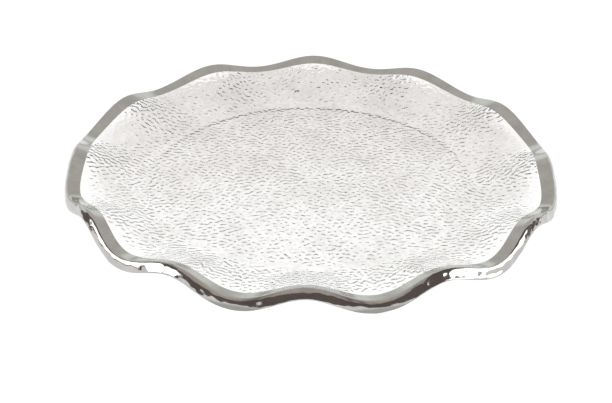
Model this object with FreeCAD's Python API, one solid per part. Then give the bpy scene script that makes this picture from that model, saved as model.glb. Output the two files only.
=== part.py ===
import FreeCAD, Part
import math
import os

# Ruffled glass cake plate with a platinum rim.
#
# One sheet of clear glass is slumped to a flat round well with a shallow flare round it, and the flare
# waves up and down in twelve ruffles.  The cut edge leans outwards.  A film of platinum is fired on the top
# of the rim and wraps over the edge.  The glass is drawn back by the film's thickness, so that the two meet
# face to face.
#
# Millimetres, +Z up.  The origin is the centre of the flat underside, and a ruffle's crest lies on +X.

# Driving dimensions.
RIM_DIAMETER = 222.0     # across the rim's top edge, halfway between a crest and a dip
WELL_DIAMETER = 150.0    # the flat middle, up to where the flare begins
GLASS = 5.0              # thickness of the sheet
RIM_RISE = 8.9           # mean height of the rim's top edge over the well
BEND_LENGTH = 4.7        # the turn from the well into the flare dies away over about this length
RUFFLES = 12             # crests round the rim, with a dip between each two
RUFFLE_HEIGHT = 3.2      # a crest stands this far over the mean rim, and a dip this far under it
RUFFLE_DRAW = 1.55       # a crest is drawn in by this much, and a dip let out by it
EDGE_LEAN = 1.3          # the cut edge's lower arris stands out this far past the upper one
BAND = 5.6               # width of the platinum on top of the rim
FILM = 0.2               # thickness of the platinum solid

# Worked out from them.
RIM_RADIUS = RIM_DIAMETER / 2
WELL_RADIUS = WELL_DIAMETER / 2
FLARE = RIM_RADIUS - WELL_RADIUS
BEND_RATE = FLARE / BEND_LENGTH

# How finely the surfaces are sampled.
POINTS_PER_RUFFLE = 8
RINGS_ON_FLARE = 9
RINGS_ON_BAND = 3
STEP = 1e-4              # share of the flare or of a turn, for the slopes

RING_POINTS = RUFFLES * POINTS_PER_RUFFLE


# The top surface.  Share is 0 where the flare leaves the well, and 1 at the rim's top edge.

def wave(angle):
    """+1 on a crest and -1 in a dip."""
    return math.cos(RUFFLES * angle)


def rim_radius(angle):
    return RIM_RADIUS - RUFFLE_DRAW * wave(angle)


def bend(share):
    """Height of the flare without ruffles, from 0 to 1: a soft bend that runs out into a straight cone."""
    def lift(at):
        return at - (1 - math.exp(-BEND_RATE * at)) / BEND_RATE
    return lift(share) / lift(1)


def ruffle(share):
    """How much of the ruffles has grown at this share of the flare, from 0 to 1."""
    return share * share * (3.5 - share) / 2.5


def top_point(share, angle):
    radius = WELL_RADIUS + (rim_radius(angle) - WELL_RADIUS) * share
    height = GLASS + RIM_RISE * bend(share) + RUFFLE_HEIGHT * wave(angle) * ruffle(share)
    return FreeCAD.Vector(radius * math.cos(angle), radius * math.sin(angle), height)


def outward(share, angle):
    """How fast the top surface goes outwards, in millimetres for a whole share."""
    return (top_point(share, angle) - top_point(share - STEP, angle)) / STEP


def normal(share, angle):
    """Unit normal of the top surface, pointing up."""
    if share <= 0:
        return FreeCAD.Vector(0, 0, 1)
    around = top_point(share, angle + STEP) - top_point(share, angle - STEP)
    return outward(share, angle).cross(around).normalize()


def share_before_rim(distance):
    """Function of the angle: the share that lies this far in from the rim's top edge, along the glass."""
    return lambda angle: 1 - distance / outward(1, angle).Length


# Rings and the surfaces between them.

def ring_curve(share_at, depth):
    """Closed curve round the plate at a share that may change with the angle, this deep in the glass."""
    points = []
    for i in range(RING_POINTS):
        angle = 2 * math.pi * i / RING_POINTS
        share = share_at(angle)
        points.append(top_point(share, angle) - normal(share, angle) * depth)
    curve = Part.BSplineCurve()
    curve.interpolate(Points=points, PeriodicFlag=True, Parameters=[float(i) for i in range(RING_POINTS + 1)])
    return curve


def between(inner_share, outer_share, part):
    """Function of the angle: the share that is this part of the way from one share to another."""
    return lambda angle: inner_share(angle) + (outer_share(angle) - inner_share(angle)) * part


def curved_face(inner_share, outer_share, depth, ring_count):
    """Smooth face round the plate from one share to another, at one depth in the glass."""
    parts = [i / (ring_count - 1) for i in range(ring_count)]
    rings = [ring_curve(between(inner_share, outer_share, part), depth) for part in parts]
    columns = []
    for poles in zip(*[ring.getPoles() for ring in rings]):
        column = Part.BSplineCurve()
        column.interpolate(Points=list(poles), Parameters=parts)
        columns.append(column)
    surface = Part.BSplineSurface()
    surface.buildFromPolesMultsKnots(
        [column.getPoles() for column in columns],
        rings[0].getMultiplicities(), columns[0].getMultiplicities(),
        rings[0].getKnots(), columns[0].getKnots(),
        True, False, rings[0].Degree, columns[0].Degree)
    return surface.toShape()


def strip(ring_a, ring_b):
    """Face of straight lines from one ring to another."""
    return Part.makeRuledSurface(ring_a.toShape(), ring_b.toShape())


def disc(ring):
    """Flat face inside a ring."""
    return Part.Face(Part.Wire([ring.toShape()]))


def solid_from(faces):
    shell = Part.makeShell(faces)
    shell.sewShape()
    solid = Part.makeSolid(Part.Shell(shell.Faces))
    if solid.Volume < 0:
        solid.reverse()
    return solid


# Shares that the two pieces have in common.

def at_well(angle):
    return 0.0


def at_rim(angle):
    return 1.0


band_inner = share_before_rim(BAND)
upper_glass = share_before_rim(FILM)
lower_edge = share_before_rim(-EDGE_LEAN)
lower_glass = share_before_rim(FILM - EDGE_LEAN)


# The pieces.

def glass_plate():
    """The slumped sheet, with a shallow step under the platinum."""
    well_top = ring_curve(at_well, 0)
    well_bottom = ring_curve(at_well, GLASS)
    return solid_from([
        disc(well_top),
        curved_face(at_well, band_inner, 0, RINGS_ON_FLARE),
        strip(ring_curve(band_inner, 0), ring_curve(band_inner, FILM)),
        curved_face(band_inner, upper_glass, FILM, RINGS_ON_BAND),
        strip(ring_curve(upper_glass, FILM), ring_curve(lower_glass, GLASS)),
        curved_face(at_well, lower_glass, GLASS, RINGS_ON_FLARE),
        disc(well_bottom),
    ])


def platinum_rim():
    """The fired film: a band on top of the rim and a wrap over the outer edge, down to the lower arris."""
    return solid_from([
        curved_face(band_inner, at_rim, 0, RINGS_ON_BAND),
        strip(ring_curve(at_rim, 0), ring_curve(lower_edge, GLASS)),
        strip(ring_curve(lower_edge, GLASS), ring_curve(lower_glass, GLASS)),
        strip(ring_curve(lower_glass, GLASS), ring_curve(upper_glass, FILM)),
        curved_face(band_inner, upper_glass, FILM, RINGS_ON_BAND),
        strip(ring_curve(band_inner, FILM), ring_curve(band_inner, 0)),
    ])


PIECES = {
    "glass_plate": glass_plate,
    "platinum_rim": platinum_rim,
}

os.makedirs("parts", exist_ok=True)
for name, make in PIECES.items():
    piece = make()
    box = piece.BoundBox
    print(f"{name}: valid {piece.isValid()}, closed {piece.isClosed()}, volume {piece.Volume:.1f} mm3,",
          f"X {box.XMin:.2f}..{box.XMax:.2f}, Y {box.YMin:.2f}..{box.YMax:.2f}, Z {box.ZMin:.2f}..{box.ZMax:.2f}")
    piece.exportStep(f"parts/{name}.step")
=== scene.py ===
import math

import bpy
import numpy as np
from mathutils import Matrix, Vector


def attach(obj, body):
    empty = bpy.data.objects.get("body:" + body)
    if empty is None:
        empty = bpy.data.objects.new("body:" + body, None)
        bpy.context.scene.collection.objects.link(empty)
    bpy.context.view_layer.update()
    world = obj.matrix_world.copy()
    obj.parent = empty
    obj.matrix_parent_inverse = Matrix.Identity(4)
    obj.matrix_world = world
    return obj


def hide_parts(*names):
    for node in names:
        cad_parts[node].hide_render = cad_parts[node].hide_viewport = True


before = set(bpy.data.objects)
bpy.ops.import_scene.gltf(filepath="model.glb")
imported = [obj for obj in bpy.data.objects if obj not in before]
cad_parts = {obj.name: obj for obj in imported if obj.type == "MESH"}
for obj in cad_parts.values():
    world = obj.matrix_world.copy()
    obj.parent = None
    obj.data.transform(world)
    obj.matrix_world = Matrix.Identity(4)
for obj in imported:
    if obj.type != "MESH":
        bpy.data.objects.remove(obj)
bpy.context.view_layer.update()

# A ruffled plate of slumped glass, hammered underneath, with a fired platinum rim that is hand-chipped at its
# outer edge.  Metres, in the frame's own axes: +Z up, with a ruffle's crest on +X.  The camera looks from -Y,
# so the front of the plate is on that side.

rng = np.random.default_rng(12)

MM = 0.001

# The plate's shape, as in the CAD model.
RIM_RADIUS = 111.0 * MM      # to the rim's top edge, halfway between a crest and a dip
WELL_RADIUS = 75.0 * MM
GLASS = 5.0 * MM
RIM_RISE = 8.9 * MM
BEND_LENGTH = 4.7 * MM
RUFFLES = 12
RUFFLE_HEIGHT = 3.2 * MM
RUFFLE_DRAW = 1.55 * MM
EDGE_LEAN = 1.3 * MM
BAND = 5.6 * MM
FILM = 0.2 * MM
FLARE = RIM_RADIUS - WELL_RADIUS
BEND_RATE = FLARE / BEND_LENGTH
STEP = 1e-4                  # share of the flare or of a turn, for the slopes

# The hammered underside.
HAMMER_PITCH = 2.65 * MM     # from one dimple to the next
HAMMER_SPREAD = 0.35         # how much their spacing varies, as a share of it
HAMMER_STEEPNESS = 0.8       # a higher value makes their walls steeper, and their middles flatter
HAMMER_DEPTH = 0.45 * MM
HAMMER_GRID = 0.3 * MM       # cells of the height map
HAMMER_SPAN = 1024           # cells along each side of the height map
FADE_START = 1.66            # reach from which the dimples fade out, at the front
FADE_END = 1.86
FADE_LATER = 0.14            # at the back they fade this much further out
FADED = 0.02                 # share of the depth that is left at the rim
FLARE_DEEPER = 0.25          # the dimples on the flare are deeper by this share
FLARE_BLEND = 0.15           # share of the flare over which they grow so deep
CREST_DEEPER = 0.25          # at the back, deeper still on a crest by this share, and less deep in a dip
BACK_WIDTH = 60 * MM         # along Y, over which the front of the plate changes into the back
BEAD_RADIUS = 73.5 * MM      # the well is hollowed very slightly towards the bead that it stands on
HOLLOW = 0.2 * MM
HOLLOW_WIDTH = 7.0 * MM      # over which the hollow grows towards the bead
BEAD_WIDTH = 0.5 * MM        # over which it ends at the bead
PIT_DEPTH = 1.1 * MM         # one stray pit
PIT_SIZE = 1.15 * MM
PIT_AT = (-8.9 * MM, 89 * MM)

# The outer edge.
DROOP = 0.15 * MM            # how far the top is rounded down where it meets the edge
DROOP_WIDTH = 0.9 * MM
EDGE_TURN = 0.22             # share of the edge's height in which it turns down from the top
UNDERCUT = 0.08 * MM         # how far the lower part is drawn back in again
UNDERCUT_POWER = 4           # the higher this is, the further down it starts
ARRIS = 0.25 * MM            # how far the lower arris itself is rounded in
ARRIS_POWER = 16
STRAIGHT = [                 # stretches with a straighter edge: middle and width in degrees, and how straight
    (-53, 17, 0.85),
    (-97, 9, 0.5),
    (-148, 20, 0.3),
]
RIPPLE = 0.02 * MM           # the waviness that fire polishing leaves on the edge
RIPPLE_WAVES = 24
RIPPLE_TURNS = (40, 160)     # how often a wave repeats in a turn round the plate, at least and under
RIPPLE_ROWS = 1.5            # how often it repeats over the height of the edge, at most
RIPPLE_START = 0.25          # share of the edge's height over which the ripples grow
FLAKES = 90                  # scars left by chipping, all round
FLAKE_SCATTER = 0.4          # how far one may be off its even place, as a share of their spacing
FLAKE_DOWN = (0.45, 1.05)    # where its middle is: 0 is the top arris and 1 the lower one
FLAKE_LENGTH = (2.5, 6.0)    # half its length, half its height and its depth, in millimetres
FLAKE_HEIGHT = (1.2, 3.0)
FLAKE_DEPTH = (0.08, 0.3)

# The platinum film.
GAP = 0.02 * MM              # between the glass and the film
FEATHER = 0.5 * MM           # the film thins out to nothing over this width at its inner edge
CREASE = 0.08 * MM           # width of the strip on each side of its inner edge, where the shading turns

# How finely the meshes are made.
UNDER_SPACING = 0.72 * MM
TOP_SPACING = 1.8 * MM
EDGE_SPACING = 0.4 * MM
INNER_SPACING = 1.0 * MM     # where the film hides the surface
WELL_STEP_GROWTH = 1.35      # the rings on the flat well are further and further apart towards the middle
EDGE_RINGS = 25              # over the height of the edge
INNER_EDGE_RINGS = 14
BAND_RINGS = 10              # over the film on top of the rim, closer together towards the edge
INNER_BAND_RINGS = 4

# The glass.
GLASS_COLOUR = (0.99, 0.987, 0.984, 1)
GLASS_IOR = 1.52
NOISE_SPAN = (0.3, 0.8)      # most of a noise's values lie in it
WANDER = 14 * MM             # of the smooth glass's gloss
WANDER_DEPTH = 0.01 * MM
SMOOTH_ROUGHNESS = (0.0, 0.03)
GRAIN = 0.9 * MM             # of the hammered glass
GRAIN_DEPTH = 0.012 * MM
GRAIN_END = 100 * MM         # distance from the middle by which the grain has faded out
GRAIN_FADE = 15 * MM
HAMMERED_ROUGHNESS = (0.02, 0.1)

# The metal.
METAL = (0.575, 0.568, 0.55)
DULL_METAL = (0.45, 0.444, 0.43)
METAL_ROUGHNESS = (0.05, 0.16)
METAL_DETAIL = 3.0           # of both noises
BRUSH_WIDTH = 0.35 * MM
BRUSH_STRETCH = 0.04         # width over length of its streaks
BRUSH_DEPTH = 0.002 * MM
BRUSH_SPAN = (0.3, 0.7)      # values of the streaks' noise over which the colour changes
BRUSH_GLOSS_SPAN = (0.3, 0.75)
BRUSH_DULLS = 0.3            # share of the dullness that comes from the streaks
PATCH = 7 * MM               # of the slightly uneven and dull patches
PATCH_DEPTH = 0.02 * MM
PATCH_SPAN = (0.25, 0.75)
PATCH_DULLS = 0.7
# Painted shade on the metal: a darker stretch that stands in for the edge's reflection of the shaded floor
# under the rim.
PAINTED_EDGE_SHADE = (0.31, 0.3, 0.285)
PAINTED_EDGE_SHADE_AT = (0, -111 * MM, 5 * MM)    # it lies low on the edge, on one side of the plate
PAINTED_EDGE_SHADE_REACH = 50 * MM
PAINTED_EDGE_SHADE_LEVEL = 7.5 * MM
PAINTED_EDGE_SHADE_BLUR = 1.2           # it fades out between each of those two and this many times as much

# The floor, with painted shade and painted light under the plate.
FLOOR_RADIUS = 0.4
FLOOR_SIDES = 128
FLOOR_DROP = 0.05 * MM       # it lies this far under the plate
FLOOR_GLOW = 1.08
WHITE = (1, 1, 1)
SHADE = 0.22                 # painted shade: how much darker the floor is under the back of the plate
# the warm tint of the painted shade
SHADE_TINT = (1.0, 0.975, 0.955)
SHADE_CENTRE = 20 * MM       # along +Y
SHADE_RADIUS = 113 * MM
SHADE_STRETCH = 1.04         # along Y over X
SHADE_SOLID = 0.88           # share of the radius from which the shade fades out
SHADE_FRONT = -60 * MM       # along Y it grows from here
SHADE_BACK = 110 * MM        # to here
CAUSTIC = 0.12               # painted light: how much the light that comes through the hammered glass varies
CAUSTIC_SIZE = 3.2 * MM
CAUSTIC_SPAN = (0.35, 0.7)
CAUSTIC_END = 0.95           # share of the shade's radius by which the light is even again
RUFFLE_LIGHT = 0.08          # painted light: how much it varies over a ruffle
RUFFLE_LIGHT_SIZE = 26 * MM
RUFFLE_LIGHT_SPAN = (0.4, 0.65)

# The studio.  A direction is told by its X, Y and Z, from -1 to 1.
DARK = (0.155, 0.13, 0.12)
CEILING = (0.58, 0.51, 0.47)
CEILING_LEVEL = (0.56, 0.62)           # Z over which the ceiling begins
CEILING_SIDE = (0.55, 0.4)             # X to either side, over which it begins
GREY = (0.675, 0.65, 0.62)
BRIGHT = (0.95, 1.0, 0.95)
BACK_SWEEP = [(0.02, GREY), (0.1, BRIGHT), (0.26, BRIGHT), (0.4, GREY)]    # colours behind the plate, by Z
BACK_LEAN = 0.4
BACK_START = (0.52, 0.6)               # the back begins over this span of Y plus its lean times Z
SOFTBOX_DISTANCE = 1.2
SOFTBOX_GLOW = 2.6

# The camera.
CAMERA_DISTANCE = 0.64
CAMERA_PITCH = math.radians(30.05)
CAMERA_ANGLE = math.radians(-89.46)    # round the plate, from +X
CAMERA_ROLL = math.radians(0.75)
AIM = Vector((-0.0020, -0.0144, 0.0))
LENS = 80.0
SENSOR = 36.0
NEAREST = 0.01                         # it sees nothing that is nearer than this


# The plate's surfaces.  Share is 0 where the flare leaves the well, and 1 at the rim's top edge.

def bend(share):
    """Height of the flare without ruffles, from 0 to 1: a soft bend that runs out into a straight cone."""
    def lift(at):
        return at - (1 - np.exp(-BEND_RATE * at)) / BEND_RATE
    return lift(share) / lift(1.0)


def ruffle(share):
    """How much of the ruffles has grown at this share of the flare, from 0 to 1."""
    return share * share * (3.5 - share) / 2.5


def top_point(reach, angle):
    """Points on the top.  Reach is 0 at the centre, 1 where the flare begins and 2 at the rim's top edge."""
    share = np.maximum(reach - 1, 0)
    wave = np.cos(RUFFLES * angle)
    radius = WELL_RADIUS * np.minimum(reach, 1) + (FLARE - RUFFLE_DRAW * wave) * share
    height = GLASS + RIM_RISE * bend(share) + RUFFLE_HEIGHT * wave * ruffle(share)
    return np.stack([radius * np.cos(angle), radius * np.sin(angle), height + 0 * radius], axis=-1)


def unit(vectors):
    return vectors / np.linalg.norm(vectors, axis=-1, keepdims=True)


def outward(reach, angle):
    """Unit vector along the top, straight out towards the rim."""
    return unit(top_point(reach, angle) - top_point(reach - STEP, angle))


def normal(reach, angle):
    """Unit normal of the top, pointing up."""
    around = top_point(reach, angle + STEP) - top_point(reach, angle - STEP)
    return unit(np.cross(outward(reach, angle), around))


def reach_before_rim(distance, angle):
    """The reach that lies this far in from the rim's top edge, along the glass."""
    run = np.linalg.norm(top_point(2.0, angle) - top_point(2.0 - STEP, angle), axis=-1) / STEP
    return 2 - distance / run


# The hammered underside.

def hammer_map():
    """Heights from 0 to 1 on a square grid: random waves of about one pitch, with flattened ends."""
    freq = np.fft.fftfreq(HAMMER_SPAN, HAMMER_GRID)
    size = np.hypot(*np.meshgrid(freq, freq)) * HAMMER_PITCH
    band = np.exp(-((size - 1) / HAMMER_SPREAD) ** 2)
    waves = np.fft.fft2(rng.standard_normal((HAMMER_SPAN, HAMMER_SPAN))) * band
    field = np.fft.ifft2(waves).real
    field = field / field.std()
    return 0.5 + 0.5 * np.tanh(HAMMER_STEEPNESS * field)


hammer_heights = hammer_map()


def hammer(x, y):
    """Depth of the dimples at these places, in metres."""
    u = x / HAMMER_GRID + HAMMER_SPAN / 2
    v = y / HAMMER_GRID + HAMMER_SPAN / 2
    i = np.floor(u).astype(int)
    j = np.floor(v).astype(int)
    past_i = u - i
    past_j = v - j
    low = hammer_heights[j, i] * (1 - past_i) + hammer_heights[j, i + 1] * past_i
    high = hammer_heights[j + 1, i] * (1 - past_i) + hammer_heights[j + 1, i + 1] * past_i
    return HAMMER_DEPTH * (low * (1 - past_j) + high * past_j)


def flare_strength(reach, angle, y):
    """How deep the dimples on the flare are, as a share of those on the well."""
    back = np.clip(y / BACK_WIDTH + 0.5, 0, 1)
    start = FADE_START + FADE_LATER * back
    faded = np.clip((reach - start) / (FADE_END - FADE_START), 0, 1) * (1 - FADED)
    extra = FLARE_DEEPER + CREST_DEEPER * back * np.cos(RUFFLES * angle)
    deeper = 1 + extra * np.clip((reach - 1) / FLARE_BLEND, 0, 1)
    return deeper * (1 - faded)


def hollow(radius):
    """How far the underside is hollowed: slowly more towards the bead, with a quick end at it."""
    inside = BEAD_RADIUS - radius
    return HOLLOW * math.exp(-inside / HOLLOW_WIDTH if inside > 0 else inside / BEAD_WIDTH)


def pit(x, y):
    """Depth of the stray pit at these places."""
    return PIT_DEPTH * np.exp(-((x - PIT_AT[0]) ** 2 + (y - PIT_AT[1]) ** 2) / PIT_SIZE ** 2)


# The outer edge.  Down is 0 at the top arris and 1 at the lower one.

scatter = rng.uniform(-FLAKE_SCATTER, FLAKE_SCATTER, FLAKES)
flake_angle = (np.arange(FLAKES) + scatter) * 2 * math.pi / FLAKES
flake_down = rng.uniform(*FLAKE_DOWN, FLAKES)
flake_length = rng.uniform(*FLAKE_LENGTH, FLAKES) * MM
flake_height = rng.uniform(*FLAKE_HEIGHT, FLAKES) * MM
flake_depth = rng.uniform(*FLAKE_DEPTH, FLAKES) * MM

ripple_turns = rng.integers(*RIPPLE_TURNS, RIPPLE_WAVES)
ripple_rows = rng.uniform(-RIPPLE_ROWS, RIPPLE_ROWS, RIPPLE_WAVES)
ripple_phase = rng.uniform(0, 2 * math.pi, RIPPLE_WAVES)


def turn_from(angle, other):
    """How far round an angle is from another, between minus and plus half a turn."""
    return (angle - other + math.pi) % (2 * math.pi) - math.pi


def chip(down, angle):
    """Depth of the scars at these places on the edge."""
    depth = np.zeros(np.broadcast(down, angle).shape)
    flakes = zip(flake_angle, flake_down, flake_length, flake_height, flake_depth)
    for at, level, length, height, deep in flakes:
        along = turn_from(angle, at) * RIM_RADIUS / length
        across = (down - level) * GLASS / height
        depth = np.maximum(depth, deep * (1 - along ** 2 - across ** 2))
    return depth


def ripple(down, angle):
    """How far the ripples stand out at these places on the edge."""
    height = np.zeros(np.broadcast(down, angle).shape)
    for turns_round, rows, phase in zip(ripple_turns, ripple_rows, ripple_phase):
        height += np.cos(turns_round * angle + 2 * math.pi * rows * down + phase)
    return RIPPLE * height * math.sqrt(2 / RIPPLE_WAVES)


def straightness(angle):
    """Share of the edge's lean that is even from top to bottom.  The rest comes in the turn at the top."""
    share = 0 * angle
    for middle, width, most in STRAIGHT:
        share += most * np.exp(-(turn_from(angle, math.radians(middle)) / math.radians(width)) ** 2)
    return share


def edge_point(down, angle, inset=0.0):
    """Points on the outer edge, this far inside it."""
    rim = top_point(2.0, angle)
    out = outward(2.0, angle)
    up = normal(2.0, angle)
    flat = straightness(angle)
    lean = EDGE_LEAN * (flat * down + (1 - flat) * (1 - math.exp(-down / EDGE_TURN)))
    drawn_in = (1 - flat) * UNDERCUT * down ** UNDERCUT_POWER + ARRIS * down ** ARRIS_POWER
    uneven = ripple(down, angle) * min(1, down / RIPPLE_START) - chip(down, angle)
    stand = lean - drawn_in + uneven - inset
    level = inset + DROOP + down * (GLASS - inset - DROOP)
    return rim + out * stand[..., None] - up * level


def band_point(distance, angle, depth=0.0):
    """Points on top of the rim, this far in from the outer edge and this deep."""
    reach = reach_before_rim(distance, angle)
    droop = DROOP * max(0, 1 - distance / DROOP_WIDTH) ** 2
    return top_point(reach, angle) - normal(reach, angle) * (depth + droop)


# Meshes made of rings.

def turns(spacing, radius=RIM_RADIUS):
    """Evenly spaced angles round a ring."""
    count = max(6, round(2 * math.pi * radius / spacing))
    return np.arange(count) * 2 * math.pi / count


def stitch(first, second):
    """Triangles between two rings of vertex numbers, each evenly spaced from angle 0."""
    n = len(first)
    m = len(second)
    faces = []
    i = 0
    j = 0
    while i < n or j < m:
        if j == m or (i < n and (i + 1) * m < (j + 1) * n):
            faces.append((first[i], first[(i + 1) % n], second[j % m]))
            i += 1
        else:
            faces.append((first[i % n], second[(j + 1) % m], second[j]))
            j += 1
    return [face for face in faces if len(set(face)) == 3]


def ring_mesh(name, rings, materials, closed=False, second_from=math.inf):
    """A smooth mesh through the rings in turn.  Closed joins the last ring to the first.  The faces from ring
    number second_from on take the second material."""
    starts = np.cumsum([0] + [len(ring) for ring in rings])
    numbers = [list(range(start, end)) for start, end in zip(starts, starts[1:])]
    if closed:
        numbers.append(numbers[0])
    faces = []
    slots = []
    for k, (first, second) in enumerate(zip(numbers, numbers[1:])):
        strip = stitch(first, second)
        faces += strip
        slots += [0 if k < second_from else 1] * len(strip)
    mesh = bpy.data.meshes.new(name)
    mesh.from_pydata(np.concatenate(rings).tolist(), [], faces)
    mesh.shade_smooth()
    for material in materials:
        mesh.materials.append(material)
    mesh.polygons.foreach_set("material_index", slots)
    piece = bpy.data.objects.new(name, mesh)
    bpy.context.scene.collection.objects.link(piece)
    return piece


def underside_rings():
    """From the centre to the rim's lower edge."""
    rings = [np.array([[0.0, 0.0, float(hammer(0.0, 0.0))]])]
    for radius in np.arange(UNDER_SPACING, WELL_RADIUS, UNDER_SPACING):
        angle = turns(UNDER_SPACING, radius)
        x = radius * np.cos(angle)
        y = radius * np.sin(angle)
        rings.append(np.stack([x, y, hammer(x, y) + hollow(radius)], axis=-1))
    steps = round(FLARE / UNDER_SPACING)
    for k in range(steps):
        angle = turns(UNDER_SPACING, WELL_RADIUS + FLARE * k / steps)
        reach = 1 + (reach_before_rim(FILM - EDGE_LEAN, angle) - 1) * k / steps
        up = normal(reach, angle)
        point = top_point(reach, angle) - up * GLASS
        x = point[..., 0]
        y = point[..., 1]
        depth = hammer(x, y) * flare_strength(reach, angle, y) + pit(x, y)
        rings.append(point + up * depth[..., None])
    return rings


def top_rings():
    """From the film's inner edge to the centre."""
    fine = turns(EDGE_SPACING)
    rings = [band_point(BAND, fine), band_point(BAND + CREASE, fine)]
    steps = round(FLARE / TOP_SPACING)
    for k in range(steps - 1, 0, -1):
        angle = turns(TOP_SPACING, WELL_RADIUS + FLARE * k / steps)
        reach = 1 + (reach_before_rim(BAND, angle) - 1) * k / steps
        rings.append(top_point(reach, angle))
    radius = WELL_RADIUS
    step = TOP_SPACING
    while radius > 0:
        rings.append(top_point(radius / WELL_RADIUS, turns(TOP_SPACING, radius)))
        radius -= step
        step *= WELL_STEP_GROWTH
    rings.append(np.array([[0.0, 0.0, GLASS]]))
    return rings


def inner_rings(inset):
    """Over the outer edge and the top of the rim, this deep under their surface, up to the film's feather."""
    angle = turns(INNER_SPACING)
    rings = []
    for down in np.linspace(1.0, 0.0, INNER_EDGE_RINGS):
        rings.append(edge_point(down, angle, inset))
    for distance in np.linspace(FILM, BAND - FEATHER, INNER_BAND_RINGS):
        rings.append(band_point(distance, angle, inset))
    return rings


def glass_piece():
    underside = underside_rings()
    rings = underside + inner_rings(FILM + GAP) + top_rings()
    return ring_mesh("hammered_glass_plate", rings, [hammered_glass(), smooth_glass()],
                     second_from=len(underside))


def film_piece():
    angle = turns(EDGE_SPACING)
    rings = [band_point(BAND, angle)]
    for part in np.linspace(1.0, 0.1, BAND_RINGS):
        rings.append(band_point((BAND - CREASE) * part ** 2, angle))
    for down in np.linspace(0.0, 1.0, EDGE_RINGS):
        rings.append(edge_point(down, angle))
    return ring_mesh("platinum_rim_film", rings + inner_rings(FILM), [platinum()], closed=True)


# Nodes.

def map_range(tree, value, span, to=(0.0, 1.0)):
    """A smooth step: the value's run over this span becomes a run over the other."""
    node = tree.nodes.new("ShaderNodeMapRange")
    node.interpolation_type = "SMOOTHSTEP"
    node.inputs["From Min"].default_value = span[0]
    node.inputs["From Max"].default_value = span[1]
    node.inputs["To Min"].default_value = to[0]
    node.inputs["To Max"].default_value = to[1]
    tree.links.new(value, node.inputs["Value"])
    return node.outputs["Result"]


def math_node(tree, operation, *values):
    node = tree.nodes.new("ShaderNodeMath")
    node.operation = operation
    for socket, value in zip(node.inputs, values):
        if isinstance(value, (int, float)):
            socket.default_value = value
        else:
            tree.links.new(value, socket)
    return node.outputs[0]


def vector_math(tree, operation, vector, constant=(0, 0, 0)):
    node = tree.nodes.new("ShaderNodeVectorMath")
    node.operation = operation
    node.inputs[1].default_value = constant
    tree.links.new(vector, node.inputs[0])
    return node.outputs["Vector"]


def vector_length(tree, vector):
    node = tree.nodes.new("ShaderNodeVectorMath")
    node.operation = "LENGTH"
    tree.links.new(vector, node.inputs[0])
    return node.outputs["Value"]


def components(tree, vector):
    node = tree.nodes.new("ShaderNodeSeparateXYZ")
    tree.links.new(vector, node.inputs[0])
    return node.outputs


def blend(tree, amount, first, second):
    node = tree.nodes.new("ShaderNodeMixRGB")
    tree.links.new(amount, node.inputs["Fac"])
    for socket, colour in ((node.inputs["Color1"], first), (node.inputs["Color2"], second)):
        if isinstance(colour, tuple):
            socket.default_value = (*colour, 1)
        else:
            tree.links.new(colour, socket)
    return node.outputs["Color"]


def ramp(tree, value, stops):
    """A colour ramp on a value from -1 to 1: stops are (value, colour)."""
    spread = tree.nodes.new("ShaderNodeMapRange")
    spread.inputs["From Min"].default_value = -1
    tree.links.new(value, spread.inputs["Value"])
    node = tree.nodes.new("ShaderNodeValToRGB")
    elements = node.color_ramp.elements
    elements.remove(elements[1])
    for k, (at, colour) in enumerate(stops):
        place = 0.5 + at / 2
        stop = elements[0] if k == 0 else elements.new(place)
        stop.position = place
        stop.color = (*colour, 1)
    tree.links.new(spread.outputs[0], node.inputs["Fac"])
    return node.outputs["Color"]


def noise(tree, vector, scale, detail=2.0):
    node = tree.nodes.new("ShaderNodeTexNoise")
    node.inputs["Scale"].default_value = scale
    node.inputs["Detail"].default_value = detail
    tree.links.new(vector, node.inputs["Vector"])
    return node.outputs["Fac"]


def bump(tree, height, distance, under=None):
    node = tree.nodes.new("ShaderNodeBump")
    node.inputs["Distance"].default_value = distance
    tree.links.new(height, node.inputs["Height"])
    if under is not None:
        tree.links.new(under, node.inputs["Normal"])
    return node.outputs["Normal"]


def object_place(tree):
    return tree.nodes.new("ShaderNodeTexCoord").outputs["Object"]


# Materials.

def new_material(name):
    material = bpy.data.materials.new(name)
    material.use_nodes = True
    tree = material.node_tree
    return material, tree, tree.nodes["Principled BSDF"]


def clear_glass(name):
    material, tree, shader = new_material(name)
    shader.inputs["Base Color"].default_value = GLASS_COLOUR
    shader.inputs["Transmission Weight"].default_value = 1.0
    shader.inputs["IOR"].default_value = GLASS_IOR
    return material, tree, shader


def smooth_glass():
    """The fire-polished top: clear, with a faint wander in its gloss."""
    material, tree, shader = clear_glass("smooth_glass")
    wander = noise(tree, object_place(tree), 1 / WANDER)
    tree.links.new(map_range(tree, wander, NOISE_SPAN, SMOOTH_ROUGHNESS), shader.inputs["Roughness"])
    tree.links.new(bump(tree, wander, WANDER_DEPTH), shader.inputs["Normal"])
    return material


def hammered_glass():
    """The underside: the dimples are in the mesh, and the finer grain on them is here."""
    material, tree, shader = clear_glass("hammered_glass")
    place = object_place(tree)
    grain = noise(tree, place, 1 / GRAIN)
    tree.links.new(map_range(tree, grain, NOISE_SPAN, HAMMERED_ROUGHNESS), shader.inputs["Roughness"])
    inner = map_range(tree, vector_length(tree, place), (GRAIN_END - GRAIN_FADE, GRAIN_END), (1.0, 0.0))
    fading_grain = math_node(tree, "MULTIPLY", grain, inner)
    tree.links.new(bump(tree, fading_grain, GRAIN_DEPTH), shader.inputs["Normal"])
    return material


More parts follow.
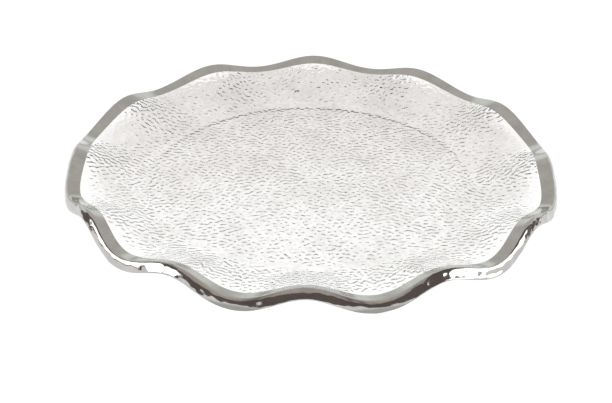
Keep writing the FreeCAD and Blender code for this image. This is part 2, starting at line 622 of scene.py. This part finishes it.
def brushing(tree, place):
    """Streaks that run straight across the rim: noise that is short round the plate and long outwards."""
    flat = vector_math(tree, "MULTIPLY", place, (1, 1, 0))
    direction = components(tree, vector_math(tree, "NORMALIZE", flat))
    outwards = math_node(tree, "MULTIPLY", vector_length(tree, flat), BRUSH_STRETCH / RIM_RADIUS)
    streaks = tree.nodes.new("ShaderNodeCombineXYZ")
    tree.links.new(direction["X"], streaks.inputs["X"])
    tree.links.new(direction["Y"], streaks.inputs["Y"])
    tree.links.new(outwards, streaks.inputs["Z"])
    return noise(tree, streaks.outputs[0], RIM_RADIUS / BRUSH_WIDTH, METAL_DETAIL)


def painted_edge_shade(tree, place):
    """Painted shade: a stretch of the edge's lower part where the metal is darkened, for its reflection of
    the shaded floor under the rim.
    """
    away = vector_length(tree, vector_math(tree, "SUBTRACT", place, PAINTED_EDGE_SHADE_AT))
    near = map_range(tree, away, (PAINTED_EDGE_SHADE_REACH, PAINTED_EDGE_SHADE_BLUR * PAINTED_EDGE_SHADE_REACH), (1.0, 0.0))
    height = components(tree, place)["Z"]
    low = map_range(tree, height, (PAINTED_EDGE_SHADE_LEVEL, PAINTED_EDGE_SHADE_BLUR * PAINTED_EDGE_SHADE_LEVEL), (1.0, 0.0))
    return math_node(tree, "MULTIPLY", near, low)


def platinum():
    """Fired metal: brushed across the rim, with soft dull patches, and painted shade low on the edge on one
    side.
    """
    material, tree, shader = new_material("fired_platinum")
    shader.inputs["Metallic"].default_value = 1.0
    place = object_place(tree)
    brushed = brushing(tree, place)
    patches = noise(tree, place, 1 / PATCH, METAL_DETAIL)
    dull = math_node(tree, "ADD", map_range(tree, patches, PATCH_SPAN, (0.0, PATCH_DULLS)),
                     map_range(tree, brushed, BRUSH_SPAN, (0.0, BRUSH_DULLS)))
    metal = blend(tree, dull, METAL, DULL_METAL)
    # The painted shade darkens the metal low on the edge, on one side of the plate.
    tree.links.new(blend(tree, painted_edge_shade(tree, place), metal, PAINTED_EDGE_SHADE), shader.inputs["Base Color"])
    tree.links.new(map_range(tree, brushed, BRUSH_GLOSS_SPAN, METAL_ROUGHNESS), shader.inputs["Roughness"])
    uneven = bump(tree, patches, PATCH_DEPTH)
    tree.links.new(bump(tree, brushed, BRUSH_DEPTH, uneven), shader.inputs["Normal"])
    return material


# The stage.

def floor_white():
    """White, with painted uneven light under the plate, and a painted soft shade there that deepens towards
    the back.
    """
    material = bpy.data.materials.new("floor_white")
    material.use_nodes = True
    tree = material.node_tree
    tree.nodes.clear()
    place = object_place(tree)
    oval = tree.nodes.new("ShaderNodeMapping")
    oval.vector_type = "TEXTURE"
    oval.inputs["Location"].default_value = (0, SHADE_CENTRE, 0)
    oval.inputs["Scale"].default_value = (SHADE_RADIUS, SHADE_RADIUS * SHADE_STRETCH, 1)
    tree.links.new(place, oval.inputs["Vector"])
    away = vector_length(tree, oval.outputs[0])
    under = map_range(tree, away, (SHADE_SOLID, 1.0), (SHADE, 0.0))
    back = map_range(tree, components(tree, place)["Y"], (SHADE_FRONT, SHADE_BACK))
    fine = noise(tree, place, 1 / CAUSTIC_SIZE)
    broad = noise(tree, place, 1 / RUFFLE_LIGHT_SIZE)
    light = math_node(tree, "ADD", map_range(tree, fine, CAUSTIC_SPAN, (0.0, CAUSTIC)),
                      map_range(tree, broad, RUFFLE_LIGHT_SPAN, (0.0, RUFFLE_LIGHT)))
    inside = map_range(tree, away, (SHADE_SOLID, CAUSTIC_END), (1.0, 0.0))
    uneven = math_node(tree, "MULTIPLY", light, inside)
    shade = math_node(tree, "ADD", math_node(tree, "MULTIPLY", under, back), uneven)
    glow = tree.nodes.new("ShaderNodeEmission")
    tree.links.new(math_node(tree, "SUBTRACT", FLOOR_GLOW, shade), glow.inputs["Strength"])
    tint = blend(tree, map_range(tree, shade, (0.0, SHADE)), WHITE, SHADE_TINT)
    tree.links.new(tint, glow.inputs["Color"])
    out = tree.nodes.new("ShaderNodeOutputMaterial")
    tree.links.new(glow.outputs[0], out.inputs["Surface"])
    return material


def floor_piece():
    bpy.ops.mesh.primitive_circle_add(vertices=FLOOR_SIDES, radius=FLOOR_RADIUS, fill_type="NGON",
                                      location=(0, 0, -FLOOR_DROP))
    floor = bpy.context.object
    floor.name = "floor"
    floor.data.materials.append(floor_white())


def softbox(name, azimuth, elevation, width, height):
    """A lit panel that faces the plate: where its middle is and how much of the view it fills, in degrees."""
    light = bpy.data.lights.new(name, "AREA")
    light.shape = "RECTANGLE"
    light.size = 2 * SOFTBOX_DISTANCE * math.tan(math.radians(width / 2))
    light.size_y = 2 * SOFTBOX_DISTANCE * math.tan(math.radians(height / 2))
    light.energy = SOFTBOX_GLOW * light.size * light.size_y * math.pi
    lamp = bpy.data.objects.new(name, light)
    lamp.rotation_euler = (math.radians(90 - elevation), 0, math.radians(azimuth + 90))
    lamp.location = lamp.rotation_euler.to_matrix() @ Vector((0, 0, SOFTBOX_DISTANCE))
    lamp.visible_camera = False
    bpy.context.scene.collection.objects.link(lamp)


def studio_world():
    """What the plate reflects: a dark side behind the camera with a lit ceiling over it, and a grey side
    behind the plate with a bright sweep low down.  The camera itself sees plain white."""
    world = bpy.data.worlds.new("studio")
    bpy.context.scene.world = world
    world.use_nodes = True
    tree = world.node_tree
    tree.nodes.clear()
    direction = components(tree, tree.nodes.new("ShaderNodeTexCoord").outputs["Generated"])
    up = direction["Z"]
    aside = math_node(tree, "ABSOLUTE", direction["X"])
    behind = math_node(tree, "ADD", direction["Y"], math_node(tree, "MULTIPLY", up, BACK_LEAN))
    overhead = math_node(tree, "MULTIPLY", map_range(tree, up, CEILING_LEVEL),
                         map_range(tree, aside, CEILING_SIDE))
    front = blend(tree, overhead, DARK, CEILING)
    back = ramp(tree, up, BACK_SWEEP)
    studio = tree.nodes.new("ShaderNodeBackground")
    colour = blend(tree, map_range(tree, behind, BACK_START), front, back)
    tree.links.new(colour, studio.inputs["Color"])
    seen = tree.nodes.new("ShaderNodeBackground")
    seen.inputs["Color"].default_value = (*WHITE, 1)
    path = tree.nodes.new("ShaderNodeLightPath")
    choose = tree.nodes.new("ShaderNodeMixShader")
    out = tree.nodes.new("ShaderNodeOutputWorld")
    tree.links.new(path.outputs["Is Camera Ray"], choose.inputs[0])
    tree.links.new(studio.outputs[0], choose.inputs[1])
    tree.links.new(seen.outputs[0], choose.inputs[2])
    tree.links.new(choose.outputs[0], out.inputs["Surface"])


def camera():
    data = bpy.data.cameras.new("camera")
    data.lens = LENS
    data.sensor_width = SENSOR
    data.clip_start = NEAREST
    eye = Vector((
        math.cos(CAMERA_PITCH) * math.cos(CAMERA_ANGLE),
        math.cos(CAMERA_PITCH) * math.sin(CAMERA_ANGLE),
        math.sin(CAMERA_PITCH))) * CAMERA_DISTANCE
    shot = bpy.data.objects.new("camera", data)
    look = (AIM - eye).to_track_quat("-Z", "Y").to_matrix().to_4x4()
    shot.matrix_world = Matrix.Translation(eye) @ look @ Matrix.Rotation(CAMERA_ROLL, 4, "Z")
    bpy.context.scene.collection.objects.link(shot)
    bpy.context.scene.camera = shot


# Putting it together.

bpy.context.scene.view_settings.view_transform = "Standard"
bpy.context.scene.cycles.glossy_bounces = 12     # so that most rays caught in the glass still reach the floor

glass = glass_piece()
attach(glass, "root")
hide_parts("glass_plate")

film = film_piece()
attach(film, "root")
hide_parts("platinum_rim")

floor_piece()
studio_world()
softbox("softbox_left", azimuth=194, elevation=17, width=46, height=27)
softbox("softbox_right", azimuth=-11, elevation=12, width=38, height=24)
camera()
